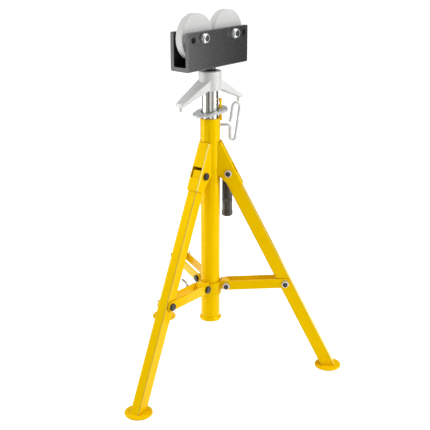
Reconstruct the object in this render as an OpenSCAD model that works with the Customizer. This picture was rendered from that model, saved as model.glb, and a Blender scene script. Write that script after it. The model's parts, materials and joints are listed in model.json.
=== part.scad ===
// Folding tripod pipe stand with a two-roller head. Millimetres, Z up.
// The origin is on the floor, on the axis of the mast.

/* [Mast and post] */
// outside diameter of the mast pipe
mast_od = 48.3; // [47:0.1:50]
// wall of the mast pipe
mast_wall = 3.7; // [3:0.1:4]
// height of the top of the mast above the floor
mast_top = 659; // [640:1:680]
// height of the underside of the mast above the floor
mast_bottom = 129; // [120:1:150]
// outside diameter of the ring at the foot of the mast
end_ring_od = 56.5; // [54:0.5:60]
// outside diameter of the inner post
post_od = 39.4; // [38:0.1:40.4]
// wall of the inner post
post_wall = 3; // [2.5:0.1:3.5]
// distance between two height holes in the post
hole_pitch = 50; // [40:1:50]

/* [Legs] */
// distance of a leg's pivot from the mast axis
leg_pivot_r = 44.8; // [44.5:0.1:47]
// height of a leg's pivot above the floor
leg_pivot_z = 524.3; // [515:0.1:530]
// lean of a leg from the upright
leg_angle = 26.9; // [26:0.1:28]
// leg tube across its side face
leg_depth = 32.5; // [29:0.5:33]
// leg tube across its outer face
leg_width = 25; // [21:0.5:26]
// wall of a leg tube
leg_wall = 2.5; // [2:0.1:3]
// diameter of a foot disc
foot_d = 68; // [60:1:74]
// thickness of a foot disc
foot_t = 6; // [5:0.5:8]

/* [Braces and collar] */
// distance of a brace's outer bolt from the leg pivot, along the leg
brace_on_leg = 322.5; // [310:0.5:330]
// distance of a brace's inner bolt from the mast axis
collar_pivot_r = 41.4; // [41:0.1:43]
// height of a brace's inner bolt above the floor
collar_pivot_z = 227; // [220:0.1:236]
// width of a brace strap
strap_w = 24; // [20:0.5:24]
// thickness of a brace strap
strap_t = 4.5; // [3.5:0.1:5]
// height of the sliding collar
collar_h = 34; // [30:1:40]
// outside diameter of the sliding collar
collar_od = 57; // [55:0.5:58]

/* [Roller head] */
// turn of the head about the mast
head_yaw = 53.5; // [40:0.5:70]
// length of the head channel
head_l = 213; // [208:1:230]
// outside width of the head channel
head_w = 56; // [54:0.5:60]
// height of the head channel
head_h = 88.5; // [86:0.5:95]
// plate thickness of the head channel
head_t = 10; // [8:0.5:10]
// height of the underside of the head above the floor
head_bottom = 783.4; // [782:0.1:790]
// distance between the two axles
axle_gap = 110; // [109:0.5:114]
// height of the axles above the underside of the head
axle_up = 74; // [72:0.5:75]
// distance between the two spare holes
spare_gap = 180; // [176:1:184]
// roller diameter
roller_d = 108; // [98:1:108]
// roller width
roller_w = 20; // [18:0.5:26]
// axle bolt diameter
axle_d = 14; // [12:0.5:14]

/* [Handle nut and screw] */
// turn of the nut's arms about the mast
nut_yaw = 44.5; // [30:0.5:60]
// diameter of the nut's hub
hub_d = 55; // [52:0.5:56]
// height of the hub
hub_h = 46; // [42:0.5:46]
// reach of an arm from the mast axis
arm_reach = 95.5; // [92:0.5:104]
// diameter of the lift screw
screw_d = 28; // [24:0.5:30]
// length of the screw under the head
screw_l = 130; // [122:1:134]

/* [Small parts] */
// diameter of the leg and brace bolts
bolt_d = 10; // [9:0.5:10]
// wire diameter of the height pin
pin_d = 7.4; // [6:0.1:8]
// thickness of the lock plate
plate_t = 6; // [4:0.5:7]
// resting droop of the lock plate
plate_droop = 10; // [6:0.5:11]
// distance of the hand grip from the mast axis
grip_r = 78; // [74:0.5:84]
// diameter of the hand grip
grip_d = 26; // [23:0.2:28]
// diameter of the carry handle rod
rod_d = 14; // [12:0.5:16]

/* [Hidden] */
$fn = 64;
eps = 0.01;
// gap between a sliding piece and what it slides on
slide_gap = 0.4;
// play of a turning pin in its bore, on the radius
pin_gap = 0.06;
// gap between a moving piece and the piece beside it
side_gap = 0.5;
mast_r = mast_od / 2;
post_r = post_od / 2;
leg_azimuths = [0, 120, 240];
// hexagon sizes follow the bolt sizes
bolt_r = bolt_d / 2;
bolt_af = 1.6 * bolt_d;
bolt_head_h = 0.64 * bolt_d;
bolt_nut_h = bolt_d;
bolt_tail = 3;
axle_r = axle_d / 2;
axle_af = 1.5 * axle_d;
axle_head_h = 0.63 * axle_d;
axle_nut_h = 0.78 * axle_d;
// the spare holes lie a little lower than the axles
spare_up = axle_up - 2.4;
// bracket sheet
sheet_t = 3;
fold_r = 4;
bracket_in = leg_width / 2 + side_gap;
bracket_out = bracket_in + sheet_t;
web_in = leg_depth / 2 + side_gap;
web_out = web_in + sheet_t;
bracket_below = 41;
window_top = 17;
window_bottom = 10;
leg_over = 10;
// legs
leg_reach = leg_pivot_r + (leg_pivot_z - foot_t) * tan(leg_angle);
leg_corner = 3;
// brace geometry in the leg's own plane
brace_out_r = leg_pivot_r + brace_on_leg * sin(leg_angle);
brace_out_z = leg_pivot_z - brace_on_leg * cos(leg_angle);
brace_dx = brace_out_r - collar_pivot_r;
brace_dz = brace_out_z - collar_pivot_z;
brace_l = sqrt(brace_dx * brace_dx + brace_dz * brace_dz);
brace_tilt = atan2(brace_dz, brace_dx);
strap_in = leg_width / 2 + side_gap;
strap_out = strap_in + strap_t;
lug_r = strap_w / 2;
collar_mid = collar_pivot_z - 9;
// post, pin and hook
post_bottom = 150;
hub_top = head_bottom - 10.2;
hub_bottom = hub_top - hub_h;
washer_t = 2;
pocket_h = 8;
post_top = hub_bottom + pocket_h - washer_t;
pin_z = mast_top - 17;
post_holes = 8;
pin_tip_r = post_r + 0.6;
pin_bend_r = 48;
pin_corner = 6;
pin_low_r = 6.6;
pin_low_z = pin_z - 30.5;
pin_lean = 7.5;
pin_rise = 77;
pin_top_r = 8.4;
pin_tail = 8;
pin_end_l = 40;
hook_yaw = 30;
hook_w = 7;
hook_d = 7;
hook_top = mast_top + 45;
plate_z = mast_top + 20;
plate_hinge_r = mast_r + hook_d / 2;
plate_hole_r = post_r + 2;
// carry handle
grip_yaw = 60;
grip_bottom = 388;
grip_l = 118;
rod_z = 549;
rod_bend = 24;
wing_yaw = 180;
wing_stem_r = 4;
wing_z = collar_mid - 4;

// helpers

// leg axes: X out from the mast, Y to the left of that, Z up
module at_leg(i) {
    rotate([0, 0, leg_azimuths[i]]) children();
}

// axes of a leaning leg, from its pivot: X through its outer face, -Z down the leg
module along_leg() {
    translate([leg_pivot_r, 0, leg_pivot_z]) rotate([0, -leg_angle, 0]) children();
}

// a rod along +Y from y0 to y1
module cross_rod(r, y0, y1) {
    translate([0, y0, 0]) rotate([-90, 0, 0]) cylinder(r = r, h = y1 - y0);
}

// a hexagon prism along +Y from y0 to y1
module cross_hex(af, y0, y1) {
    translate([0, y0, 0]) rotate([-90, 0, 0]) cylinder(r = af / sqrt(3), h = y1 - y0, $fn = 6);
}

module rounded_rect(w, h, r) {
    square([w - 2 * r, h], center = true);
    square([w, h - 2 * r], center = true);
    for (sx = [-1, 1], sy = [-1, 1])
        translate([sx * (w / 2 - r), sy * (h / 2 - r)]) circle(r = r);
}

// bolt with its head at +Y, over a stack that reaches from -grip to +grip
module cross_bolt(grip) {
    cross_hex(bolt_af, grip, grip + bolt_head_h);
    cross_rod(bolt_r, -grip - bolt_nut_h - bolt_tail, grip + eps);
}

// self-locking nut on the -Y side of the same stack: hexagon, then the collar of its insert
module cross_nut(grip) {
    difference() {
        union() {
            cross_hex(bolt_af, -grip - 0.7 * bolt_nut_h, -grip);
            cross_rod(0.46 * bolt_af, -grip - bolt_nut_h, -grip - 0.7 * bolt_nut_h + eps);
        }
        cross_rod(bolt_r + pin_gap, -grip - 2 * bolt_nut_h, -grip + 1);
    }
}

// mast

module mast_tube() {
    color("gold") difference() {
        translate([0, 0, mast_bottom]) cylinder(r = mast_r, h = mast_top - mast_bottom);
        translate([0, 0, mast_bottom - 1]) cylinder(r = mast_r - mast_wall, h = mast_top - mast_bottom + 2);
        translate([0, 0, pin_z]) rotate([0, 90, 0]) cylinder(r = pin_d / 2 + pin_gap, h = mast_od);
    }
}

// flared ring that keeps the collar on the mast
module mast_end_ring() {
    ring_h = 10;
    rim_h = 5.5;
    // thickness of the ring's upper lip
    lip = 0.6;
    edge_r = 2.5;
    r = end_ring_od / 2;
    in_r = mast_r + eps;
    color("gold") translate([0, 0, mast_bottom]) rotate_extrude() difference() {
        union() {
            polygon([[in_r, 0], [r - edge_r, 0], [r - edge_r, edge_r], [r, edge_r], [r, rim_h],
                     [in_r + lip, ring_h], [in_r, ring_h]]);
            translate([r - edge_r, edge_r]) circle(r = edge_r);
        }
        translate([0, -1]) square([in_r, ring_h + 2]);
    }
}

// folded bracket: two cheeks against the mast and a leaning web with a window for the leg's end
module bracket(i) {
    // the web's inner face stops just short of the mast
    weld_gap = 0.4;
    web_top = (leg_pivot_r + web_in * cos(leg_angle) - mast_r - weld_gap) / sin(leg_angle);
    color("gold") at_leg(i) difference() {
        union() {
            for (s = [-1, 1]) along_leg() translate([0, s * (bracket_in + sheet_t / 2), 0]) rotate([90, 0, 0])
                linear_extrude(height = sheet_t, center = true) bracket_cheek(web_top);
            along_leg() translate([0, 0, -bracket_below])
                linear_extrude(height = bracket_below + web_top) bracket_fold();
        }
        translate([0, 0, mast_bottom]) cylinder(r = mast_r, h = mast_top);
        along_leg() translate([web_in - 1, -bracket_in, -window_bottom])
            cube([sheet_t + 2, 2 * bracket_in, window_bottom + window_top]);
        translate([leg_pivot_r, 0, leg_pivot_z]) cross_rod(bolt_r + pin_gap, -2 * bracket_out, 2 * bracket_out);
    }
}

// the web across the leg, with the two rounded folds and the first of the cheeks
module bracket_fold() {
    difference() {
        rounded_rect(2 * web_out, 2 * bracket_out, fold_r);
        translate([-2 * web_out, -bracket_in]) square([2 * web_out + web_in, 2 * bracket_in]);
        translate([-2 * web_out, -2 * bracket_out]) square([2 * web_out + web_in - fold_r, 4 * bracket_out]);
    }
}

// side outline of a cheek in the axes of the leaning leg, from inside the fold
module bracket_cheek(web_top) {
    cheek_out = web_in - fold_r + 2;
    heel = 7;
    // the outline runs well into the mast, which then cuts it off
    root = mast_r - 10 - leg_pivot_r;
    rise = web_in * sin(leg_angle) + web_top * cos(leg_angle);
    polygon([[cheek_out, web_top], [cheek_out, -bracket_below], [-heel, -bracket_below],
             [root * cos(leg_angle), -root * sin(leg_angle)],
             [root * cos(leg_angle) + rise * sin(leg_angle), rise * cos(leg_angle) - root * sin(leg_angle)]]);
}

module pivot_bolts() {
    color("dimgray") for (i = [0 : 2]) at_leg(i)
        translate([leg_pivot_r, 0, leg_pivot_z]) cross_bolt(bracket_out);
}

module pivot_nuts() {
    color("silver") for (i = [0 : 2]) at_leg(i)
        translate([leg_pivot_r, 0, leg_pivot_z]) cross_nut(bracket_out);
}

// upright bar that the lock plate hangs on, with a wider head over the plate
module hook_bar() {
    foot = 9;
    head_h = 7;
    head_more = 2.2;
    color("gold") rotate([0, 0, hook_yaw]) difference() {
        union() {
            translate([mast_r - 2, -hook_w / 2, mast_top - foot])
                cube([hook_d + 2, hook_w, hook_top - mast_top + foot]);
            translate([mast_r - 2, -hook_w / 2 - head_more, hook_top - head_h])
                cube([hook_d + 2, hook_w + 2 * head_more, head_h]);
        }
        translate([0, 0, mast_top - 2 * foot]) cylinder(r = mast_r, h = hook_top - mast_top + 4 * foot);
    }
}

// bent rod: out from the mast, then down into the grip
module handle_bar() {
    color("gold") rotate([0, 0, grip_yaw]) difference() {
        union() {
            translate([mast_r - 4, 0, rod_z]) rotate([0, 90, 0])
                cylinder(r = rod_d / 2, h = grip_r - rod_bend - mast_r + 4);
            translate([grip_r - rod_bend, 0, rod_z - rod_bend]) rotate([90, 0, 0])
                rotate_extrude(angle = 90) translate([rod_bend, 0]) circle(r = rod_d / 2);
            translate([grip_r, 0, grip_bottom + 5]) cylinder(r = rod_d / 2, h = rod_z - rod_bend - grip_bottom - 5);
        }
        translate([0, 0, rod_z - 2 * rod_d]) cylinder(r = mast_r, h = 4 * rod_d);
    }
}

// rubber sleeve, closed and flared at its lower end
module handle_grip() {
    flare_h = 14;
    flare = 0.8;
    body_r = grip_d / 2 - flare;
    edge = 4;
    color("dimgray") translate([grip_r * cos(grip_yaw), grip_r * sin(grip_yaw), grip_bottom]) difference() {
        rotate_extrude() {
            square([grip_d / 2 - edge, flare_h]);
            translate([0, edge]) square([grip_d / 2, flare_h - edge]);
            intersection() {
                translate([grip_d / 2 - edge, edge]) circle(r = edge);
                square([grip_d, grip_d]);
            }
            square([body_r, grip_l]);
        }
        translate([0, 0, 5]) cylinder(r = rod_d / 2 + eps, h = grip_l);
    }
}

// post, nut and screw

module post_tube() {
    color("lightgray") difference() {
        translate([0, 0, post_bottom]) cylinder(r = post_r, h = post_top - post_bottom);
        translate([0, 0, post_bottom - 1]) cylinder(r = post_r - post_wall, h = post_top - post_bottom + 2);
        for (k = [0 : post_holes - 1]) translate([0, 0, pin_z - k * hole_pitch]) rotate([0, 90, 0])
            cylinder(r = pin_d / 2 + 4 * pin_gap, h = post_od);
    }
}

module thrust_washer() {
    color("silver") translate([0, 0, post_top]) difference() {
        cylinder(r = post_r - 0.2, h = washer_t - 0.1);
        translate([0, 0, -1]) cylinder(r = screw_d / 2 + slide_gap, h = washer_t + 2);
    }
}

// cast nut: hub with a collar, and two drooping arms that are hollow and ribbed below
module handle_nut() {
    color("gainsboro") rotate([0, 0, nut_yaw]) difference() {
        union() {
            translate([0, 0, hub_bottom]) cylinder(r = hub_d / 2 - 1.5, h = hub_h);
            translate([0, 0, hub_top - 21]) cylinder(r = hub_d / 2, h = 21);
            for (s = [0, 180]) rotate([0, 0, s]) nut_arm();
        }
        translate([0, 0, hub_bottom - 30]) cylinder(r = screw_d / 2 + pin_gap, h = hub_h + 60);
        translate([0, 0, hub_bottom - 30]) cylinder(r = post_r + slide_gap, h = pocket_h + 30);
    }
}

// heights of an arm over the hub's foot at its root and at its tip
arm_root_top = 28;
arm_root_low = 4;
arm_tip_top = -22;
arm_tip_low = -31;
arm_root_w = 42;
arm_tip_w = 26;
arm_skin = 4.5;

module nut_arm() {
    difference() {
        arm_block(0, 0);
        arm_block(arm_skin, arm_skin);
    }
    // cross ribs, which stand out a little under the arm
    rib_out = 2.2;
    rib_t = 4;
    free_arm = arm_reach - hub_d / 2;
    translate([0, 0, -rib_out]) intersection() {
        arm_block(0, rib_out);
        for (share = [0.3, 0.57, 0.8])
            translate([hub_d / 2 + share * free_arm, -arm_root_w / 2, hub_bottom - 60])
                cube([rib_t, arm_root_w, 120]);
    }
    // foot of the tip
    tip_foot = 10;
    translate([arm_reach - 5, 0, hub_bottom + arm_tip_low - tip_foot]) cylinder(r = 4, h = tip_foot + 6);
}

// the arm's outline, drawn in by a skin on its top, tip and sides
module arm_block(skin, side) {
    x0 = hub_d / 4;
    lower = skin > 0 ? 20 : 0;
    // the top falls evenly from the root to the tip
    fall = (arm_root_top - arm_tip_top) / (arm_reach - x0);
    start = x0 + 4 * skin;
    stop = arm_reach - skin;
    intersection() {
        translate([0, 0, hub_bottom]) rotate([90, 0, 0]) linear_extrude(height = 2 * arm_root_w, center = true)
            polygon([[start, arm_root_top - fall * (start - x0) - 1.2 * skin],
                     [stop, arm_root_top - fall * (stop - x0) - 1.2 * skin],
                     [stop, arm_tip_low - lower], [start, arm_root_low - lower]]);
        translate([0, 0, hub_bottom - 80]) linear_extrude(height = 160) polygon([
            [x0, -arm_root_w / 2 + side], [arm_reach, -arm_tip_w / 2 + side],
            [arm_reach, arm_tip_w / 2 - side], [x0, arm_root_w / 2 - side]]);
    }
}

spigot_r = 10;
swivel_washer_t = 3;

// plain core of the lift screw, with a spigot that the head turns on
module lift_screw() {
    color("dimgray") difference() {
        union() {
            translate([0, 0, head_bottom - screw_l]) cylinder(r = screw_d / 2, h = screw_l - 0.3);
            translate([0, 0, head_bottom - 1]) cylinder(r = spigot_r, h = head_t + 1.2);
        }
        translate([0, 0, head_bottom - 20]) cylinder(r = bolt_r + eps, h = 60);
    }
}

module swivel_washer() {
    color("silver") translate([0, 0, head_bottom + head_t + 0.2]) difference() {
        cylinder(r = spigot_r + 4, h = swivel_washer_t);
        translate([0, 0, -1]) cylinder(r = bolt_r + eps, h = swivel_washer_t + 2);
    }
}

module swivel_bolt() {
    seat = head_bottom + head_t + 0.2 + swivel_washer_t;
    color("dimgray") {
        translate([0, 0, seat]) cylinder(r = bolt_af / sqrt(3), h = bolt_head_h, $fn = 6);
        translate([0, 0, head_bottom - 18]) cylinder(r = bolt_r, h = seat - head_bottom + 18.1);
    }
}

// roller head, drawn along X and turned about the mast

module in_head() {
    rotate([0, 0, head_yaw]) translate([0, 0, head_bottom]) children();
}

module head_outline() {
    bend = 4;
    difference() {
        translate([0, head_h / 2]) rounded_rect(head_w, head_h, bend);
        translate([0, head_t + head_h / 2]) square([head_w - 2 * head_t, head_h], center = true);
    }
    // square tops on the two walls
    for (s = [-1, 1]) translate([s * (head_w - head_t) / 2, head_h - head_t / 2]) square(head_t, center = true);
}

module head_channel() {
    corner = 3;
    color([0.2, 0.2, 0.2]) in_head() difference() {
        rotate([90, 0, 90]) linear_extrude(height = head_l, center = true) head_outline();
        // rounded upper corners of the walls
        for (s = [-1, 1]) translate([s * (head_l / 2 - corner), 0, head_h - corner]) difference() {
            translate([s > 0 ? 0 : -corner - 1, -head_w, 0]) cube([corner + 1, 2 * head_w, corner + 1]);
            cross_rod(corner, -2 * head_w, 2 * head_w);
        }
        for (s = [-1, 1]) {
            translate([s * axle_gap / 2, 0, axle_up]) cross_rod(axle_r + pin_gap, -head_w, head_w);
            translate([s * spare_gap / 2, 0, spare_up]) cross_rod(axle_r + pin_gap, -head_w, head_w);
        }
        translate([0, 0, -1]) cylinder(r = spigot_r + pin_gap, h = head_t + 2);
    }
}

module at_axle(s) {
    in_head() translate([s * axle_gap / 2, 0, axle_up]) children();
}

// heads at the far wall, nuts at the near wall
module axle_bolts() {
    wall = head_w / 2;
    color("dimgray") for (s = [-1, 1]) at_axle(s) {
        cross_hex(axle_af, wall, wall + axle_head_h);
        cross_rod(axle_r, -wall - axle_nut_h - 1, wall + eps);
    }
}

module axle_nuts() {
    wall = head_w / 2;
    color("silver") for (s = [-1, 1]) at_axle(s) difference() {
        union() {
            cross_hex(axle_af, -wall - 0.7 * axle_nut_h, -wall);
            cross_rod(0.46 * axle_af, -wall - axle_nut_h, -wall - 0.7 * axle_nut_h + eps);
        }
        cross_rod(axle_r + pin_gap, -wall - 2 * axle_nut_h, -wall + 1);
    }
}

bush_wall = 3;
bush_over = 1;

// short tubes on each axle that keep the roller in the middle
module axle_spacers() {
    inner = head_w / 2 - head_t;
    from = roller_w / 2 + bush_over + 0.3;
    color("silver") for (s = [-1, 1], t = [-1, 1]) at_axle(s) difference() {
        cross_rod(axle_r + bush_wall, t > 0 ? from : -inner, t > 0 ? inner : -from);
        cross_rod(axle_r + pin_gap, -head_w, head_w);
    }
}

module roller(s) {
    edge = 2;
    r = roller_d / 2;
    color("whitesmoke") at_axle(s) rotate([90, 0, 0]) difference() {
        rotate_extrude($fn = 96) {
            translate([0, -roller_w / 2]) square([r - edge, roller_w]);
            translate([0, -roller_w / 2 + edge]) square([r, roller_w - 2 * edge]);
            for (t = [-1, 1]) translate([r - edge, t * (roller_w / 2 - edge)]) circle(r = edge);
        }
        cylinder(r = axle_r + bush_wall + eps, h = 2 * roller_w, center = true);
    }
}

module roller_bush(s) {
    long = roller_w + 2 * bush_over;
    color("peru") at_axle(s) rotate([90, 0, 0]) difference() {
        cylinder(r = axle_r + bush_wall, h = long, center = true);
        cylinder(r = axle_r + pin_gap, h = 2 * long, center = true);
    }
}

// lock plate and height pin

module lock_plate() {
    plate_r = 40;
    plate_shift = 2.5;
    plate_half_w = 34;
    tab_r = 26;
    tab_at = 19;
    slot_r = hook_d / 2 + 2.4;
    color("silver") rotate([0, 0, hook_yaw]) translate([plate_hinge_r, 0, plate_z]) rotate([0, -plate_droop, 0])
        translate([-plate_hinge_r, 0, -plate_t / 2]) difference() {
            union() {
                // a disc with two flat sides
                intersection() {
                    translate([plate_shift, 0, 0]) cylinder(r = plate_r, h = plate_t);
                    translate([-2 * plate_r, -plate_half_w, 0]) cube([4 * plate_r, 2 * plate_half_w, plate_t]);
                }
                translate([-tab_at, 0, 0]) cylinder(r = tab_r, h = plate_t);
            }
            translate([-0.6, 0, -1]) cylinder(r = plate_hole_r, h = plate_t + 2);
            // slot for the hook bar, round about the tilt axis and open to the hole
            translate([plate_hinge_r, 0, plate_t / 2]) cross_rod(slot_r, -hook_w / 2 - 1, hook_w / 2 + 1);
            translate([plate_hole_r - 3, -hook_w / 2 - 1, -1])
                cube([plate_hinge_r - plate_hole_r + 3, hook_w + 2, plate_t + 2]);
        }
}

// a straight length of the pin's wire from (x, z), heading counted from +X towards +Z
module wire_run(x, z, heading, long) {
    translate([x, 0, z]) rotate([0, 90 - heading, 0]) cylinder(r = pin_d / 2, h = long);
}

// a bend of the pin's wire about (x, z), from one angle through a span,
// with a bead a hair wider than the wire where a straight length joins it
module wire_bend(x, z, r, from, span) {
    translate([x, 0, z]) rotate([90, 0, 0]) rotate([0, 0, from])
        rotate_extrude(angle = span) translate([r, 0]) circle(r = pin_d / 2);
    for (a = [from, from + span]) translate([x + r * cos(a), 0, z + r * sin(a)]) sphere(r = pin_d / 2 + 5 * eps);
}

// bent wire in the upright plane through the mast: shank, drop, leaning loop and short end
module height_pin() {
    low_x = pin_bend_r + pin_low_r;
    rise_x = low_x + pin_low_r * cos(pin_lean);
    rise_z = pin_low_z - pin_low_r * sin(pin_lean);
    crest_x = rise_x + pin_rise * sin(pin_lean) - pin_top_r * cos(pin_lean);
    crest_z = rise_z + pin_rise * cos(pin_lean) + pin_top_r * sin(pin_lean);
    end_x = crest_x - pin_top_r * cos(pin_tail);
    end_z = crest_z + pin_top_r * sin(pin_tail);
    color("silver") {
        wire_run(pin_tip_r, pin_z, 0, pin_bend_r - pin_corner - pin_tip_r);
        wire_bend(pin_bend_r - pin_corner, pin_z - pin_corner, pin_corner, 0, 90);
        wire_run(pin_bend_r, pin_z - pin_corner, -90, pin_z - pin_corner - pin_low_z);
        wire_bend(low_x, pin_low_z, pin_low_r, 180, 180 - pin_lean);
        wire_run(rise_x, rise_z, 90 - pin_lean, pin_rise);
        wire_bend(crest_x, crest_z, pin_top_r, -pin_lean, 180 + pin_lean - pin_tail);
        wire_run(end_x, end_z, 270 - pin_tail, pin_end_l);
    }
}

// sliding collar

module collar_ring() {
    bore = mast_r + slide_gap;
    color("gold") difference() {
        translate([0, 0, collar_mid - collar_h / 2]) cylinder(r = collar_od / 2, h = collar_h);
        translate([0, 0, collar_mid - collar_h]) cylinder(r = bore, h = 2 * collar_h);
        rotate([0, 0, wing_yaw]) translate([0, 0, wing_z]) rotate([0, 90, 0])
            cylinder(r = wing_stem_r + pin_gap, h = collar_od);
    }
}

module collar_lugs() {
    color("gold") for (i = [0 : 2]) at_leg(i) difference() {
        union() {
            translate([collar_pivot_r, 0, collar_pivot_z]) cross_rod(lug_r, -leg_width / 2, leg_width / 2);
            translate([mast_r, -leg_width / 2, collar_pivot_z - lug_r])
                cube([collar_pivot_r - mast_r, leg_width, 2 * lug_r]);
        }
        translate([0, 0, collar_mid - collar_h]) cylinder(r = collar_od / 2, h = 2 * collar_h);
        translate([collar_pivot_r, 0, collar_pivot_z]) cross_rod(bolt_r + pin_gap, -leg_width, leg_width);
    }
}

module collar_bolts() {
    color("dimgray") for (i = [0 : 2]) at_leg(i)
        translate([collar_pivot_r, 0, collar_pivot_z]) cross_bolt(strap_out);
}

module collar_nuts() {
    color("silver") for (i = [0 : 2]) at_leg(i)
        translate([collar_pivot_r, 0, collar_pivot_z]) cross_nut(strap_out);
}

// clamp screw with two wings that curve away from the collar
module wing_screw() {
    stem_end = collar_od / 2 + 33;
    hub_r = 6;
    wing_t = 3.4;
    wing_w = 9;
    wing_r = 22;
    wing_out = 13;
    color("silver") rotate([0, 0, wing_yaw]) translate([0, 0, wing_z]) {
        translate([mast_r + 0.3, 0, 0]) rotate([0, 90, 0]) cylinder(r = wing_stem_r, h = stem_end - mast_r);
        translate([stem_end - 6, 0, 0]) rotate([0, 90, 0]) cylinder(r = hub_r, h = 8);
        for (s = [0, 1]) mirror([0, 0, s]) rotate([90, 0, 0]) linear_extrude(height = wing_w, center = true)
          difference() {
            translate([stem_end + wing_r - 3, 0]) circle(r = wing_r);
            translate([stem_end + wing_r - 3, 0]) circle(r = wing_r - wing_t);
            translate([stem_end + wing_out, -100]) square(200);
            translate([0, -200 + hub_r / 2]) square(200);
        }
    }
}

// legs

module leg_tube(i) {
    long = leg_pivot_z / cos(leg_angle) + leg_depth;
    color("gold") at_leg(i) difference() {
        along_leg() difference() {
            translate([0, 0, -long]) linear_extrude(height = long + leg_over) difference() {
                rounded_rect(leg_depth, leg_width, leg_corner);
                rounded_rect(leg_depth - 2 * leg_wall, leg_width - 2 * leg_wall, 0.5);
            }
            cross_rod(bolt_r + pin_gap, -leg_width, leg_width);
            translate([0, 0, -brace_on_leg]) cross_rod(bolt_r + pin_gap, -leg_width, leg_width);
        }
        translate([0, -leg_width, foot_t - 200]) cube([2 * leg_reach, 2 * leg_width, 200]);
    }
}

module foot(i) {
    edge = foot_t / 2 - 0.5;
    color("gold") at_leg(i) translate([leg_reach, 0, 0]) rotate_extrude() {
        square([foot_d / 2 - edge, foot_t]);
        translate([0, edge]) square([foot_d / 2, foot_t - 2 * edge]);
        for (z = [edge, foot_t - edge]) translate([foot_d / 2 - edge, z]) circle(r = edge);
    }
}

// middle length of the outer brace bolt, inside the leg
module brace_pin(i) {
    color("dimgray") at_leg(i) along_leg() translate([0, 0, -brace_on_leg])
        cross_rod(bolt_r, -leg_width / 2, leg_width / 2);
}

// braces

module along_brace(i) {
    at_leg(i) translate([collar_pivot_r, 0, collar_pivot_z]) rotate([0, -brace_tilt, 0]) children();
}

module straps(i) {
    color("gold") along_brace(i) for (s = [-1, 1]) difference() {
        translate([0, s * (strap_in + strap_t / 2), 0]) rotate([90, 0, 0])
          linear_extrude(height = strap_t, center = true) {
            translate([0, -strap_w / 2]) square([brace_l, strap_w]);
            circle(r = strap_w / 2);
            translate([brace_l, 0]) circle(r = strap_w / 2);
        }
        for (x = [0, brace_l]) translate([x, 0, 0]) cross_rod(bolt_r + pin_gap, -2 * strap_out, 2 * strap_out);
    }
}

// head end of the outer brace bolt, cut off flush with the strap
module strap_head(i) {
    color("dimgray") along_brace(i) translate([brace_l, 0, 0]) {
        cross_hex(bolt_af, strap_out, strap_out + bolt_head_h);
        cross_rod(bolt_r, strap_in, strap_out + eps);
    }
}

// nut end of the same bolt
module strap_nut(i) {
    color("silver") along_brace(i) translate([brace_l, 0, 0]) {
        cross_hex(bolt_af, -strap_out - 0.7 * bolt_nut_h, -strap_out);
        cross_rod(0.46 * bolt_af, -strap_out - bolt_nut_h, -strap_out - 0.7 * bolt_nut_h + eps);
        cross_rod(bolt_r, -strap_out - bolt_nut_h - bolt_tail, -strap_in);
    }
}

mast_tube();
mast_end_ring();
bracket(0);  // bracket_right
bracket(1);  // bracket_rear
bracket(2);  // bracket_front
pivot_bolts();
pivot_nuts();
hook_bar();
handle_bar();
handle_grip();
post_tube();
thrust_washer();
handle_nut();
lift_screw();
swivel_washer();
swivel_bolt();
head_channel();
axle_bolts();
axle_nuts();
axle_spacers();
roller(-1);  // roller_near
roller_bush(-1);  // bush_near
roller(1);  // roller_far
roller_bush(1);  // bush_far
lock_plate();
height_pin();
collar_ring();
collar_lugs();
collar_bolts();
collar_nuts();
wing_screw();
leg_tube(0);  // leg_right
foot(0);  // foot_right
brace_pin(0);  // brace_pin_right
leg_tube(1);  // leg_rear
foot(1);  // foot_rear
brace_pin(1);  // brace_pin_rear
leg_tube(2);  // leg_front
foot(2);  // foot_front
brace_pin(2);  // brace_pin_front
straps(0);  // straps_right
strap_head(0);  // strap_head_right
strap_nut(0);  // strap_nut_right
straps(1);  // straps_rear
strap_head(1);  // strap_head_rear
strap_nut(1);  // strap_nut_rear
straps(2);  // straps_front
strap_head(2);  // strap_head_front
strap_nut(2);  // strap_nut_front
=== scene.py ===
import json
import math
import bmesh
import bpy
from mathutils import Matrix, Vector


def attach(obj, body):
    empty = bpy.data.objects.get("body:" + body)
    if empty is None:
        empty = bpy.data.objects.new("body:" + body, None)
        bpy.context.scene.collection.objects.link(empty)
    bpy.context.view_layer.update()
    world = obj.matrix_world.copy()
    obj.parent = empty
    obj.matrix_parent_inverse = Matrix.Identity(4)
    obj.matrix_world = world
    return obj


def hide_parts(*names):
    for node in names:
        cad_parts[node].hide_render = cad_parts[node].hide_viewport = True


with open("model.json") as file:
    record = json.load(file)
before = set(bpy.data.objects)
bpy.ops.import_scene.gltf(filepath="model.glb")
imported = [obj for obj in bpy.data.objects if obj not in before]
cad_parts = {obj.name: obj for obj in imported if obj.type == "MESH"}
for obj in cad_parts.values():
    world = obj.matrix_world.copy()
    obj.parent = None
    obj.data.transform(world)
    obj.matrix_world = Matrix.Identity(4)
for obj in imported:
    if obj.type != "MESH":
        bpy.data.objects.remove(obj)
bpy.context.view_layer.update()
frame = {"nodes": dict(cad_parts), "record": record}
nodes = frame["nodes"]
bodyOf = {}
for bodyName, members in frame["record"]["behaviour"]["bodies"].items():
    for member in members:
        bodyOf[member] = bodyName
slotOf = {row["node"]: row["material_slot"] for row in frame["record"]["subparts"]}

mm = 0.001
white = (1, 1, 1, 1)


# materials

def linear(hexText):
    channels = []
    for i in (0, 2, 4):
        c = int(hexText[i:i + 2], 16) / 255
        channels.append(c / 12.92 if c <= 0.04045 else ((c + 0.055) / 1.055) ** 2.4)
    return (*channels, 1.0)


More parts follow.
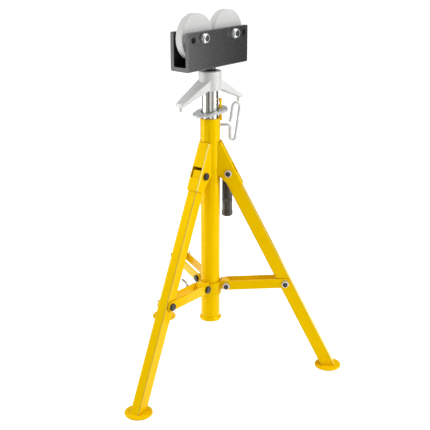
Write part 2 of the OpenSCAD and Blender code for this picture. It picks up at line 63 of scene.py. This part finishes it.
# adds one node: sockets take a value or another node's output, the rest are its settings
def addNode(tree, kind, sockets=None, **settings):
    node = tree.nodes.new(kind)
    for key, value in settings.items():
        setattr(node, key, value)
    for key, value in (sockets or {}).items():
        if isinstance(value, bpy.types.NodeSocket):
            tree.links.new(value, node.inputs[key])
        else:
            node.inputs[key].default_value = value
    return node


def mixColours(tree, share, first, second, blend="MIX"):
    mix = addNode(tree, "ShaderNodeMix", {0: share, 6: first, 7: second}, data_type="RGBA", blend_type=blend)
    return mix.outputs[2]


# carries a value from one span to another, the second from 0 to 1 if it isn't given
def spanTo(tree, value, span, newSpan=(0.0, 1.0)):
    sockets = {"Value": value, 1: span[0], 2: span[1], 3: newSpan[0], 4: newSpan[1]}
    return addNode(tree, "ShaderNodeMapRange", sockets).outputs[0]


# the spans of open sky in a crease, which set its painted shade, and of fine noise that the looks are drawn
# from
skySpan = (0.25, 0.85)
noiseSpan = (0.3, 0.7)


# a surface whose colour, roughness and relief drift over real distances in millimetres. a crease shade is a
# depth and the colour of the shade painted into hollows of that depth
def surface(name, dark, light, drift, rough, grain, relief, stretch=(1, 1, 1), creaseShade=None, **constants):
    material = bpy.data.materials.new(name)
    material.use_nodes = True
    tree = material.node_tree
    shader = tree.nodes["Principled BSDF"]
    for key, value in constants.items():
        shader.inputs[key.replace("_", " ")].default_value = value
    coords = addNode(tree, "ShaderNodeTexCoord").outputs["Object"]
    cloud = addNode(tree, "ShaderNodeTexNoise", {"Vector": coords, "Scale": 1000 / drift, "Detail": 3.0})
    tint = mixColours(tree, cloud.outputs["Fac"], linear(dark), linear(light))
    # painted shade: hollows closer than the depth are darkened towards the shade colour by ambient occlusion
    if creaseShade:
        depth, shadeTint = creaseShade
        hollow = addNode(tree, "ShaderNodeAmbientOcclusion", {"Distance": depth * mm}, samples=8)
        litShare = spanTo(tree, hollow.outputs["AO"], skySpan)
        tint = mixColours(tree, 1.0, tint, mixColours(tree, litShare, linear(shadeTint), white), "MULTIPLY")
    tree.links.new(tint, shader.inputs["Base Color"])
    drawn = addNode(tree, "ShaderNodeMapping", {"Vector": coords, "Scale": stretch}).outputs[0]
    noise = addNode(tree, "ShaderNodeTexNoise", {"Vector": drawn, "Scale": 1000 / grain, "Detail": 2.0})
    fine = noise.outputs["Fac"]
    tree.links.new(spanTo(tree, fine, noiseSpan, rough), shader.inputs["Roughness"])
    bump = addNode(tree, "ShaderNodeBump", {"Height": fine, "Strength": 0.5, "Distance": relief * mm})
    tree.links.new(bump.outputs[0], shader.inputs["Normal"])
    return material


finishes = {
    # powder coat sprayed and baked on steel: even warm yellow, thin bright lines, painted shade in its
    # creases
    "yellow_powder_coat": surface("powderCoatYellow", "E8BA00", "F1C500", 70, (0.10, 0.15), 3.0, 0.015,
                                  creaseShade=(3, "CCA268"), Metallic=0.06, Specular_IOR_Level=0.14,
                                  Specular_Tint=linear("FFC400")),
    # the same coat with a painted reflection along the corners of the leg tubes: a dull greyish line
    "painted_corner_reflection": surface("powderCoatPaintedReflection", "B4983A", "C6A62E", 60, (0.30, 0.40), 2.0, 0.02),
    # and with a painted highlight along one fold of each bracket: a pale line
    "painted_fold_highlight": surface("powderCoatPaintedHighlight", "F0DC74", "F4E07C", 60, (0.20, 0.30), 2.0, 0.01),
    # powder coat on the head, in satin black: dark grey where it faces the light
    "black_powder_coat": surface("powderCoatBlack", "171718", "1E1E1F", 40, (0.24, 0.32), 1.6, 0.012,
                                 Specular_IOR_Level=0.8),
    # black oxide from a hot bath: a dark metal with dull highlights
    "black_oxide_steel": surface("blackOxideSteel", "36363A", "444448", 9, (0.36, 0.48), 1.0, 0.03,
                                 Metallic=0.85),
    # zinc from a plating barrel: pale silver, a little cloudy
    "zinc_steel": surface("zincPlatedSteel", "CDCFD1", "DCDDDE", 8, (0.24, 0.34), 1.2, 0.02, Metallic=0.6),
    # zinc without a bright dip, on the wing screw and the lock plate: grey and satin, with painted shade in
    # its creases
    "dull_zinc": surface("dullZincSteel", "B2B4B6", "C0C1C3", 8, (0.40, 0.50), 1.2, 0.02,
                         creaseShade=(7, "7C7C7C"), Metallic=0.6),
    # drawn tube under bright plate: long soft lines up the post
    "bright_zinc_tube": surface("brightPlatedTube", "C4C2BA", "D2D0C9", 40, (0.16, 0.24), 1.2, 0.01,
                                stretch=(1, 1, 0.02), Metallic=1.0),
    # aluminium out of a sand mould: pale and matt, with a sandy skin and painted shade in its creases
    "cast_aluminium": surface("sandCastAluminium", "C5C5C3", "CFCFCD", 14, (0.48, 0.62), 1.3, 0.08,
                              creaseShade=(4, "B4B4B4"), Metallic=0.2),
    # nylon turned from bar: off white, waxy, a little light inside it
    "white_nylon": surface("turnedNylon", "BEBEBD", "C8C8C7", 30, (0.38, 0.50), 2.0, 0.03,
                           Subsurface_Weight=0.08),
    # nylon moulded black, the insert of a self-locking nut: a dull dark ring
    "black_nylon": surface("mouldedNylonInsert", "0C0C0E", "121214", 6, (0.35, 0.45), 0.8, 0.02,
                           Specular_IOR_Level=0.2),
    # plain bearing bronze, turned: brown gold with a soft shine
    "bronze": surface("bearingBronze", "8A6535", "9C7640", 6, (0.28, 0.40), 0.8, 0.02, Metallic=1.0),
    # moulded rubber: charcoal, dull, with a fine skin and painted shade in the hollows between the teeth
    "black_rubber": surface("mouldedRubber", "2A2623", "332F2B", 18, (0.30, 0.40), 0.9, 0.04,
                            creaseShade=(6, "101010"), Specular_IOR_Level=0.6),
}
print("finishes:", len(finishes))


# pieces

# a finished mesh at the origin, riding on a body and standing for CAD nodes. more names the finishes that
# come after its first
def place(name, mesh, nodeNames, sharp=35, finish=None, more=()):
    obj = bpy.data.objects.new(name, mesh)
    bpy.context.scene.collection.objects.link(obj)
    for finishName in (finish or slotOf[nodeNames[0]], *more):
        mesh.materials.append(finishes[finishName])
    mesh.polygons.foreach_set("use_smooth", [True] * len(mesh.polygons))
    mesh.set_sharp_from_angle(angle=math.radians(sharp))
    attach(obj, bodyOf[nodeNames[0]])
    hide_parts(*nodeNames)
    return obj


def meshFrom(name, bm):
    mesh = bpy.data.meshes.new(name)
    bm.to_mesh(mesh)
    bm.free()
    return mesh


# the same for a mesh that was built here, with its faces turned outwards
def builtMesh(name, bm):
    bmesh.ops.recalc_face_normals(bm, faces=bm.faces)
    return meshFrom(name, bm)


# a working copy of a CAD mesh, with its doubled corners merged
def mergedCopy(nodeName):
    bm = bmesh.new()
    bm.from_mesh(nodes[nodeName].data)
    bmesh.ops.remove_doubles(bm, verts=bm.verts, dist=2e-6)
    return bm


def edgesIn(parts):
    return [part for part in parts if isinstance(part, bmesh.types.BMEdge)]


# cuts a mesh level with the floor and gives the cut's edges. a way of -1 or 1 drops what is below or above
def cutLevel(bm, level, way=0):
    geometry = bm.verts[:] + bm.edges[:] + bm.faces[:]
    cut = bmesh.ops.bisect_plane(bm, geom=geometry, plane_co=(0, 0, level), plane_no=(0, 0, way or 1),
                                 clear_outer=way != 0)
    return edgesIn(cut["geom_cut"])


# keeps flat faces flat to the eye where rounded edges meet them
def flattenFaces(obj):
    flats = obj.modifiers.new("flatFaces", "WEIGHTED_NORMAL")
    flats.keep_sharp = True


legTurns = {"right": 0, "rear": 120, "front": 240}
legTilt = math.radians(26.9)
# a face is in the middle of a rounded corner if it looks this much both ways
cornerShare = 0.45


# paints light on the middle of a leg's or bracket's rounded corners in the second finish: all of them, or one
# fold
# a painted reflection on every corner of a leg, a painted highlight on one fold of a bracket
def paintCornerLight(bm, legName, everyCorner):
    turn = math.radians(legTurns[legName])
    out = Vector((math.cos(turn), math.sin(turn), 0))
    across = Vector((-out.y, out.x, 0))
    deep = out * math.cos(legTilt) + Vector((0, 0, math.sin(legTilt)))
    for face in bm.faces:
        looks = [face.normal.dot(across), face.normal.dot(deep)]
        if everyCorner:
            looks = [abs(look) for look in looks]
        if min(looks) > cornerShare:
            face.material_index = 1


# CAD pieces that keep their shape but get the broken edges that catch the light, in millimetres
easedEdges = {
    "mast_tube": 0.7, "bracket_right": 0.6, "bracket_rear": 0.6, "bracket_front": 0.6, "hook_bar": 0.8,
    "head_channel": 0.9, "collar_ring": 0.7, "collar_lugs": 0.7, "wing_screw": 0.5,
    "straps_right": 0.7, "straps_rear": 0.7, "straps_front": 0.7,
}
edgeAngle = math.radians(32)
# how much of its thickness the hook bar keeps at some heights in millimetres: it has a waist under its head
hookBar = {"turn": 30, "out": 27.65 * mm, "cuts": range(659, 704, 2),
           "shape": [(658, 1.0), (660, 0.72), (671, 0.95), (682, 0.9), (691, 0.5), (697, 0.62), (704, 0.72)]}


def shapeHook(bm):
    for height in hookBar["cuts"]:
        cutLevel(bm, height * mm)
    middle = Matrix.Rotation(math.radians(hookBar["turn"]), 4, "Z") @ Vector((hookBar["out"], 0, 0))
    for vert in bm.verts:
        for (low, keptLow), (high, keptHigh) in zip(hookBar["shape"], hookBar["shape"][1:]):
            if low * mm < vert.co.z <= (high + 0.1) * mm:
                kept = keptLow + (keptHigh - keptLow) * (vert.co.z / mm - low) / (high - low)
                vert.co.xy = middle.xy + (vert.co.xy - middle.xy) * kept
                break


for nodeName, width in easedEdges.items():
    bm = mergedCopy(nodeName)
    finish = "dull_zinc" if nodeName == "wing_screw" else None
    more = []
    if nodeName == "hook_bar":
        shapeHook(bm)
    # brackets: a painted highlight along one fold
    if nodeName.startswith("bracket_"):
        paintCornerLight(bm, nodeName.removeprefix("bracket_"), False)
        more = ["painted_fold_highlight"]
    name = nodeName + "_eased"
    obj = place(name, meshFrom(name, bm), [nodeName], finish=finish, more=more)
    bevel = obj.modifiers.new("brokenEdges", "BEVEL")
    bevel.width = width * mm
    bevel.segments = 2
    bevel.limit_method = "ANGLE"
    bevel.angle_limit = edgeAngle
    flattenFaces(obj)
print("eased edges:", len(easedEdges))

# leg tubes: a painted reflection along every rounded corner
for legName in legTurns:
    nodeName = "leg_" + legName
    bm = mergedCopy(nodeName)
    paintCornerLight(bm, legName, True)
    name = nodeName + "_painted_reflection"
    flattenFaces(place(name, meshFrom(name, bm), [nodeName], more=["painted_corner_reflection"]))
print("legs:", len(legTurns))

# cast and stamped pieces: a fine skin over the solid, rubbed down so that every edge turns softly
softPieces = {
    "handle_nut": {"grain": 1.1, "rubs": 6, "finish": "cast_aluminium"},
    "lock_plate": {"grain": 0.6, "rubs": 3, "finish": "dull_zinc"},
}
for nodeName, soft in softPieces.items():
    name = nodeName + "_soft"
    obj = place(name, meshFrom(name, mergedCopy(nodeName)), [nodeName], 80, soft["finish"])
    skin = obj.modifiers.new("skin", "REMESH")
    skin.mode = "VOXEL"
    skin.voxel_size = soft["grain"] * mm
    skin.use_smooth_shade = True
    rub = obj.modifiers.new("rub", "SMOOTH")
    rub.factor = 0.5
    rub.iterations = soft["rubs"]
print("soft pieces:", len(softPieces))


# fasteners and wire

# grows a loop of edges by one step, which still has no length: its new vertices, edges and faces
def growLoop(bm, edges):
    grown = bmesh.ops.extrude_edge_only(bm, edges=edges)["geom"]
    ring = [part for part in grown if isinstance(part, bmesh.types.BMVert)]
    fresh = set(ring)
    loop = [edge for edge in edgesIn(grown) if set(edge.verts) <= fresh]
    faces = [part for part in grown if isinstance(part, bmesh.types.BMFace)]
    return ring, loop, faces


# closes a stack of rings about +Z. a radius or a height may be a function of the angle, and the next material
# begins at each ring counted in starts
def stackRings(bm, rings, segments, matrix, starts=()):
    made = []
    for count, (radius, height) in enumerate(rings):
        if count == 0:
            ring = bmesh.ops.create_circle(bm, segments=segments, radius=1.0)["verts"]
            edges = list(dict.fromkeys(edge for vert in ring for edge in vert.link_edges))
            bmesh.ops.edgeloop_fill(bm, edges=edges)
        else:
            ring, edges, faces = growLoop(bm, edges)
            for face in faces:
                face.material_index = sum(count >= start for start in starts)
        for vert in ring:
            angle = math.atan2(vert.co.y, vert.co.x)
            far = radius(angle) if callable(radius) else radius
            level = height(angle) if callable(height) else height
            vert.co = (far * math.cos(angle), far * math.sin(angle), level)
        made += ring
    for face in bmesh.ops.edgeloop_fill(bm, edges=edges)["faces"]:
        face.material_index = len(starts)
    bmesh.ops.transform(bm, matrix=matrix, verts=made)


# shares of the width across flats, and of a nut's height
hexShape = {"chamfer": 0.475, "dish": 0.36, "rim": 0.40, "seat": 0.47, "collar": 0.46, "nutHex": 0.7}
# shares of the pitch in the grooves of a bolt's end
groove = {"deep": 0.55, "floorFrom": 0.42, "floorTo": 0.58, "crest": 0.92, "spare": 0.4, "lead": 0.6}
# segments round a fastener, and the angle from which its edges are sharp
fastener = {"segments": 48, "sharp": 30}


# distance from the middle of a hexagon to its edge, with a corner at angle 0
def hexReach(flats, angle):
    return flats / 2 / math.cos(math.radians(math.degrees(angle) % 60 - 30))


# the two rings where a 30 degree chamfer cuts a hexagon, from its face at level towards the way it points
def chamferRings(flats, level, way):
    limit = flats * hexShape["chamfer"]
    slope = math.tan(math.radians(30))
    return [
        (lambda angle: min(hexReach(flats, angle), limit), level),
        (lambda angle: hexReach(flats, angle),
         lambda angle: level + way * slope * max(0.0, hexReach(flats, angle) - limit)),
    ]


# turned grooves on the end of a bolt, from one level down to its end
def tailRings(radius, level, end, pitch):
    root = radius - groove["deep"] * pitch
    lead = groove["lead"] * pitch
    rings = []
    while level - pitch > end + groove["spare"] * pitch:
        rings += [(radius, level), (root, level - groove["floorFrom"] * pitch),
                  (root, level - groove["floorTo"] * pitch), (radius, level - groove["crest"] * pitch)]
        level -= pitch
    return (rings or [(radius, level)]) + [(radius, end + lead), (radius - lead, end)]


# hexagon bolt head with a dished top, down to its seat
def headRings(kind, headSeat):
    flats, headTop = kind["flats"], headSeat + kind["head"]
    rings = [(flats * hexShape["dish"], headTop - 0.4 * mm), (flats * hexShape["rim"], headTop)]
    rings += chamferRings(flats, headTop, -1)
    return rings + [(lambda angle: hexReach(flats, angle), headSeat + 0.3 * mm),
                    (flats * hexShape["seat"], headSeat), (kind["shank"], headSeat)]


# self-locking nut that faces -Z: hexagon, round collar, insert ring, bolt hole
def nutRings(kind, seat):
    flats, shank, top = kind["flats"], kind["shank"], seat - kind["nut"]
    hexTop = seat - hexShape["nutHex"] * kind["nut"]
    collar = flats * hexShape["collar"]
    rings = chamferRings(flats, seat, -1)
    rings += reversed(chamferRings(flats, hexTop, 1))
    return rings + [(collar, hexTop), (collar, top + 0.9 * mm), (collar - 0.35 * mm, top + 0.3 * mm),
                    (collar - 1.1 * mm, top), (shank + 0.5 * mm, top), (shank + 0.1 * mm, top + 0.5 * mm)]


# insert counts the ring of the nut where its black nylon begins
legBolt = {"flats": 16 * mm, "shank": 5 * mm, "head": 6.4 * mm, "nut": 10 * mm, "tail": 3 * mm,
           "pitch": 1.5 * mm, "insert": (8,)}
axleBolt = {"flats": 21 * mm, "shank": 7 * mm, "head": 8.82 * mm, "nut": 10.92 * mm, "tail": 1 * mm,
            "pitch": 1.5 * mm, "insert": ()}
# half is half of what a bolt holds together
pivots = {
    "leg": {"out": 44.8 * mm, "up": 524.3 * mm, "half": 16 * mm},
    "collar": {"out": 41.4 * mm, "up": 227 * mm, "half": 17.5 * mm},
    "axle": {"turn": 53.5, "out": 55 * mm, "up": 857.4 * mm, "half": 28 * mm},
    "brace": {"long": 149.625 * mm, "tilt": 3.715, "strapInside": 13 * mm},
}
acrossY = Matrix.Rotation(math.radians(-90), 4, "X")


def aboutMast(degrees, out, up):
    return Matrix.Rotation(math.radians(degrees), 4, "Z") @ Matrix.Translation((out, 0, up))


# the end of a bolt that sticks out of its nut, from a little inside the nut
def boltTail(kind, half, inside):
    nutEnd = -half - kind["nut"]
    return tailRings(kind["shank"], nutEnd + inside, nutEnd - kind["tail"], kind["pitch"])


def placeTurned(nodeName, meshName, bm, more=()):
    place(nodeName + "_turned", builtMesh(meshName, bm), [nodeName], fastener["sharp"], more=more)


# bolts and nuts that share one node, at each of their places
def fastenerSet(boltNode, nutNode, kind, half, places):
    bolts = bmesh.new()
    nuts = bmesh.new()
    for matrix in places:
        boltRings = headRings(kind, half) + boltTail(kind, half, 0.6 * mm)
        stackRings(bolts, boltRings, fastener["segments"], matrix @ acrossY)
        stackRings(nuts, nutRings(kind, -half), fastener["segments"], matrix @ acrossY, kind["insert"])
    placeTurned(boltNode, boltNode, bolts)
    placeTurned(nutNode, nutNode, nuts, ["black_nylon"] if kind["insert"] else [])


for name in ("leg", "collar"):
    spot = pivots[name]
    prefix = "pivot" if name == "leg" else "collar"
    fastenerSet(prefix + "_bolts", prefix + "_nuts", legBolt, spot["half"],
                [aboutMast(turn, spot["out"], spot["up"]) for turn in legTurns.values()])
spot = pivots["axle"]
fastenerSet("axle_bolts", "axle_nuts", axleBolt, spot["half"],
            [aboutMast(spot["turn"], side * spot["out"], spot["up"]) for side in (-1, 1)])

# the outer brace bolts come in two ends, each on its strap
spot = pivots["collar"]
strap = pivots["brace"]
half = spot["half"]
shank = legBolt["shank"]
for legName, turn in legTurns.items():
    matrix = aboutMast(turn, spot["out"], spot["up"]) @ Matrix.Rotation(math.radians(-strap["tilt"]), 4, "Y")
    matrix = matrix @ Matrix.Translation((strap["long"], 0, 0)) @ acrossY
    bm = bmesh.new()
    rings = headRings(legBolt, half) + [(shank, strap["strapInside"])]
    stackRings(bm, rings, fastener["segments"], matrix)
    placeTurned("strap_head_" + legName, "strapHead", bm)
    bm = bmesh.new()
    rings = [(shank, -strap["strapInside"]), (shank, -half)] + nutRings(legBolt, -half)
    starts = (len(rings) - 2, len(rings))
    stackRings(bm, rings + boltTail(legBolt, half, 0.5 * mm), fastener["segments"], matrix, starts)
    placeTurned("strap_nut_" + legName, "strapNut", bm, ["black_nylon", "black_oxide_steel"])
print("fasteners done")

# lift screw: trapezoid thread, right hand, under a plain shoulder. the thread is spun a little long, then cut
screw = {"radius": 14 * mm, "root": 10.8 * mm, "pitch": 6 * mm, "low": 653.4 * mm, "high": 776.2 * mm,
         "top": 783.1 * mm, "shoulder": 13.2 * mm, "spigot": 10 * mm, "spigotTop": 793.6 * mm, "steps": 32,
         "spare": 1.5}
bm = bmesh.new()
outline = [(screw["root"], 0.0), (screw["root"], 0.29), (screw["radius"], 0.40), (screw["radius"], 0.69),
           (screw["root"], 0.80), (screw["root"], 1.0)]
verts = []
for far, share in outline:
    verts.append(bm.verts.new((far, 0, screw["low"] + (share - screw["spare"]) * screw["pitch"])))
edges = [bm.edges.new(pair) for pair in zip(verts, verts[1:])]
turns = math.ceil((screw["high"] - screw["low"]) / screw["pitch"]) + round(2 * screw["spare"])
bmesh.ops.spin(bm, geom=verts + edges, cent=(0, 0, 0), axis=(0, 0, 1),
               dvec=(0, 0, screw["pitch"] / screw["steps"]), angle=math.tau * turns,
               steps=screw["steps"] * turns)
bmesh.ops.remove_doubles(bm, verts=bm.verts, dist=1e-5)
for level, way in ((screw["low"], -1), (screw["high"], 1)):
    bmesh.ops.edgeloop_fill(bm, edges=cutLevel(bm, level, way))
stackRings(bm, [(screw["shoulder"] - 0.8 * mm, screw["high"] - 1 * mm), (screw["shoulder"], screw["high"]),
                (screw["shoulder"], screw["top"]), (screw["spigot"], screw["top"]),
                (screw["spigot"], screw["spigotTop"])], 48, Matrix.Identity(4))
place("lift_screw_threaded", builtMesh("liftScrew", bm), ["lift_screw"], 30)

# height pin: one wire bent in the upright plane, from its tip to its cut end
pin = {"wire": 3.7 * mm, "tip": 20.3 * mm, "up": 642 * mm, "bend": 48 * mm, "corner": 6 * mm,
       "lowRadius": 6.6 * mm, "drop": 30.5 * mm, "lean": 7.5, "rise": 77 * mm, "topRadius": 8.4 * mm,
       "tail": 8, "end": 40 * mm, "tipCut": 0.9 * mm, "tipLong": 1.2 * mm}


# runs a ring of wire edges straight on
def runWire(bm, edges, move):
    ring, loop, faces = growLoop(bm, edges)
    bmesh.ops.translate(bm, vec=move, verts=ring)
    return loop


# turns it about a point in the upright plane
def bendWire(bm, edges, centre, degrees, steps):
    turned = bmesh.ops.spin(bm, geom=edges, cent=centre, axis=(0, -1, 0), angle=math.radians(degrees),
                            steps=steps)
    return edgesIn(turned["geom_last"])


bm = bmesh.new()
tipRadius = pin["wire"] - pin["tipCut"]
upright = Matrix.Translation((pin["tip"], 0, pin["up"])) @ Matrix.Rotation(math.radians(90), 4, "Y")
bmesh.ops.create_circle(bm, segments=24, radius=tipRadius, matrix=upright)
edges = bm.edges[:]
bmesh.ops.edgeloop_fill(bm, edges=edges)
edges = runWire(bm, edges, (pin["tipLong"], 0, 0))
wide = pin["wire"] / tipRadius
around = Matrix.Translation((0, 0, pin["up"]))
wireEnd = list({vert for edge in edges for vert in edge.verts})
bmesh.ops.scale(bm, vec=(1, wide, wide), space=around.inverted(), verts=wireEnd)
edges = runWire(bm, edges, (pin["bend"] - pin["corner"] - pin["tip"] - pin["tipLong"], 0, 0))
edges = bendWire(bm, edges, (pin["bend"] - pin["corner"], 0, pin["up"] - pin["corner"]), -90, 10)
edges = runWire(bm, edges, (0, 0, pin["corner"] - pin["drop"]))
lowAt = Vector((pin["bend"] + pin["lowRadius"], 0, pin["up"] - pin["drop"]))
edges = bendWire(bm, edges, lowAt, 180 - pin["lean"], 18)
lean = math.radians(pin["lean"])
tail = math.radians(pin["tail"])
along = Vector((math.sin(lean), 0, math.cos(lean)))
aside = Vector((math.cos(lean), 0, -math.sin(lean)))
edges = runWire(bm, edges, along * pin["rise"])
topAt = lowAt + aside * (pin["lowRadius"] - pin["topRadius"]) + along * pin["rise"]
edges = bendWire(bm, edges, topAt, 180 + pin["lean"] - pin["tail"], 22)
edges = runWire(bm, edges, Vector((-math.sin(tail), 0, -math.cos(tail))) * pin["end"])
bmesh.ops.edgeloop_fill(bm, edges=edges)
place("height_pin_bent", builtMesh("heightPin", bm), ["height_pin"], 40)
print("screw and pin done")

# hand grip: flared foot, smooth band, then a diamond knurl up to a plain rim
grip = {"turn": 60, "out": 78 * mm, "low": 388 * mm, "foot": 14.2 * mm, "waist": 12.8 * mm, "body": 13.3 * mm,
        "hub": 6 * mm, "bore": 7.02 * mm, "smoothTo": 43 * mm, "knurlTo": 112 * mm, "long": 118 * mm,
        "row": 6.8 * mm, "teeth": 14, "tooth": 2.8 * mm, "sink": 0.1 * mm, "near": 0.1 * mm}
bm = bmesh.new()
foot, waist, body, long = grip["foot"], grip["waist"], grip["body"], grip["long"]
knurled = body - grip["sink"]
halfRow = grip["row"] / 2
columns = grip["teeth"] * 2
rings = [(grip["hub"], 0.0), (foot - 3 * mm, 0.3 * mm), (foot - 1.2 * mm, 1.3 * mm),
         (foot - 0.3 * mm, 3 * mm), (foot, 5 * mm), (foot, 9 * mm), (foot - 0.3 * mm, 12 * mm),
         (waist, 16 * mm), (waist - 0.2 * mm, 26 * mm), (body, grip["smoothTo"] - 1 * mm)]
level = grip["smoothTo"]
while level < grip["knurlTo"]:
    rings.append((knurled, level))
    level += halfRow
rings += [(knurled, grip["knurlTo"]), (body, grip["knurlTo"] + 1 * mm), (body, long - 1 * mm),
          (body - 1 * mm, long), (grip["bore"], long)]
stackRings(bm, rings, columns, Matrix.Identity(4))
for vert in bm.verts:
    if grip["smoothTo"] - grip["near"] < vert.co.z < grip["knurlTo"] - grip["near"]:
        row = round((vert.co.z - grip["smoothTo"]) / halfRow)
        column = round(math.atan2(vert.co.y, vert.co.x) / (math.tau / columns))
        if row > 0 and (row + column) % 2 == 0:
            vert.co.xy *= 1 - grip["tooth"] / body
bmesh.ops.transform(bm, matrix=aboutMast(grip["turn"], grip["out"], grip["low"]), verts=bm.verts)
place("handle_grip_knurled", builtMesh("handleGrip", bm), ["handle_grip"], 24)
print("grip done")

# every CAD node has its own finish, which shows on those that no piece stands for
for nodeName, obj in nodes.items():
    obj.data.materials.clear()
    obj.data.materials.append(finishes[slotOf[nodeName]])


# floor, light and camera

studio = {
    "floorSize": 60.0,
    "floorAt": -0.0005,
    "floorGlow": 0.62,
    "floorColour": "F4F4F4",
    "worldLevel": 0.53,
    "lens": 75.68,
    "sensor": 36,
    "sight": 100,
    "cameraAt": (0.1425, -2.1300, 1.1499),
    "cameraAim": (-0.0579, 0.9432, -0.3273),
}


# 1 for rays from the camera, from polished faces and through clear ones, 0 for the rest
def seenBy(tree):
    path = addNode(tree, "ShaderNodeLightPath")
    seen = path.outputs["Is Camera Ray"]
    for kind in ("Is Glossy Ray", "Is Transmission Ray"):
        either = addNode(tree, "ShaderNodeMath", {0: seen, 1: path.outputs[kind]}, operation="MAXIMUM")
        seen = either.outputs[0]
    return seen


# puts a lamp or the camera at a position, looking along a direction
def lookAlong(obj, position, direction):
    obj.location = position
    obj.rotation_euler = Vector(direction).to_track_quat("-Z", "Y").to_euler()
    bpy.context.scene.collection.objects.link(obj)


bm = bmesh.new()
bmesh.ops.create_grid(bm, x_segments=1, y_segments=1, size=studio["floorSize"] / 2)
floorMesh = meshFrom("floor", bm)
floor = bpy.data.objects.new("floor", floorMesh)
floor.location = (0, 0, studio["floorAt"])
bpy.context.scene.collection.objects.link(floor)

# white paper sweep: it glows for the eye and for metal, and still takes the shadow
paper = bpy.data.materials.new("paperSweep")
paper.use_nodes = True
tree = paper.node_tree
shader = tree.nodes["Principled BSDF"]
shader.inputs["Base Color"].default_value = linear(studio["floorColour"])
shader.inputs["Roughness"].default_value = 1.0
shader.inputs["Emission Color"].default_value = white
glow = addNode(tree, "ShaderNodeMath", {0: seenBy(tree), 1: studio["floorGlow"]}, operation="MULTIPLY")
tree.links.new(glow.outputs[0], shader.inputs["Emission Strength"])
floorMesh.materials.append(paper)

# white all round: full for the same rays, lower for what it lights
world = bpy.data.worlds.new("studio")
bpy.context.scene.world = world
world.use_nodes = True
tree = world.node_tree
background = tree.nodes["Background"]
background.inputs["Color"].default_value = white
strength = spanTo(tree, seenBy(tree), (0.0, 1.0), (studio["worldLevel"], 1.0))
tree.links.new(strength, background.inputs["Strength"])

# cards round the object that only polished faces see: dark for the bands up the post and the outlines of
# wire, bright for the thin lines on the mast. each reaches from one bearing to another, counted from the
# camera's side to the right
cards = {
    "backLeft": {"from": -168, "to": -122, "level": 0.22},
    "leftLine": {"from": -118, "to": -112, "low": 0.01, "high": 0.27, "level": 7.0},
    "headEnds": {"from": -84, "to": -62, "low": 0.34, "high": 0.62, "level": 2.8},
    "left": {"from": -62, "to": -23, "level": 0.42},
    "frontLeft": {"from": -23, "to": -1, "level": 0.14},
    "frontRight": {"from": 23, "to": 54, "level": 0.42},
    "rightLine": {"from": 92, "to": 98, "low": 0.01, "high": 0.27, "level": 7.0},
    "backRight": {"from": 99, "to": 168, "level": 0.08},
}
cardRing = {"radius": 1.25, "low": 0.01, "high": 2.2, "steps": 12}
for name, card in cards.items():
    bm = bmesh.new()
    start = math.radians(card["from"] - 90)
    column = []
    for level in (card.get("low", cardRing["low"]), card.get("high", cardRing["high"])):
        corner = (cardRing["radius"] * math.cos(start), cardRing["radius"] * math.sin(start), level)
        column.append(bm.verts.new(corner))
    bmesh.ops.spin(bm, geom=column + [bm.edges.new(column)], cent=(0, 0, 0), axis=(0, 0, 1),
                   angle=math.radians(card["to"] - card["from"]), steps=cardRing["steps"])
    cardMesh = meshFrom(name, bm)
    felt = bpy.data.materials.new(name + "Card")
    felt.use_nodes = True
    shader = felt.node_tree.nodes["Principled BSDF"]
    shader.inputs["Base Color"].default_value = (0, 0, 0, 1)
    shader.inputs["Specular IOR Level"].default_value = 0.0
    shader.inputs["Emission Color"].default_value = white
    shader.inputs["Emission Strength"].default_value = card["level"]
    cardMesh.materials.append(felt)
    obj = bpy.data.objects.new(name, cardMesh)
    bpy.context.scene.collection.objects.link(obj)
    obj.visible_camera = False
    obj.visible_diffuse = False
    obj.visible_shadow = False
    obj.visible_transmission = False

coolWhite = (0.95, 1.0, 0.98)
lamps = {
    "key": {"at": (2.6, -1.0, 2.3), "aim": (0, 0, 0.5), "size": 1.6, "power": 40, "tint": coolWhite},
    "fill": {"at": (-2.6, -0.8, 1.6), "aim": (0, 0, 0.5), "size": 2.0, "power": 23, "tint": coolWhite},
    "top": {"at": (0.1, 0.5, 3.2), "aim": (0, 0, 0.4), "size": 2.2, "power": 22},
    "leftStrip": {"at": (-1.35, -0.05, 0.8), "aim": (0, 0, 0.8), "size": 0.16, "tall": 1.6, "power": 6},
    "rightStrip": {"at": (1.35, -0.1, 0.8), "aim": (0, 0, 0.8), "size": 0.16, "tall": 1.6, "power": 7},
}
for name, lamp in lamps.items():
    light = bpy.data.lights.new(name, "AREA")
    light.energy = lamp["power"]
    light.size = lamp["size"]
    light.color = lamp.get("tint", (1, 1, 1))
    if "tall" in lamp:
        light.shape = "RECTANGLE"
        light.size_y = lamp["tall"]
    lookAlong(bpy.data.objects.new(name, light), lamp["at"], Vector(lamp["aim"]) - Vector(lamp["at"]))

cameraData = bpy.data.cameras.new("camera")
cameraData.lens = studio["lens"]
cameraData.sensor_width = studio["sensor"]
cameraData.clip_end = studio["sight"]
camera = bpy.data.objects.new("camera", cameraData)
lookAlong(camera, studio["cameraAt"], studio["cameraAim"])
bpy.context.scene.camera = camera
bpy.context.scene.view_settings.view_transform = "Standard"
print("studio: floor,", len(cards), "cards,", len(lamps), "lamps and camera")
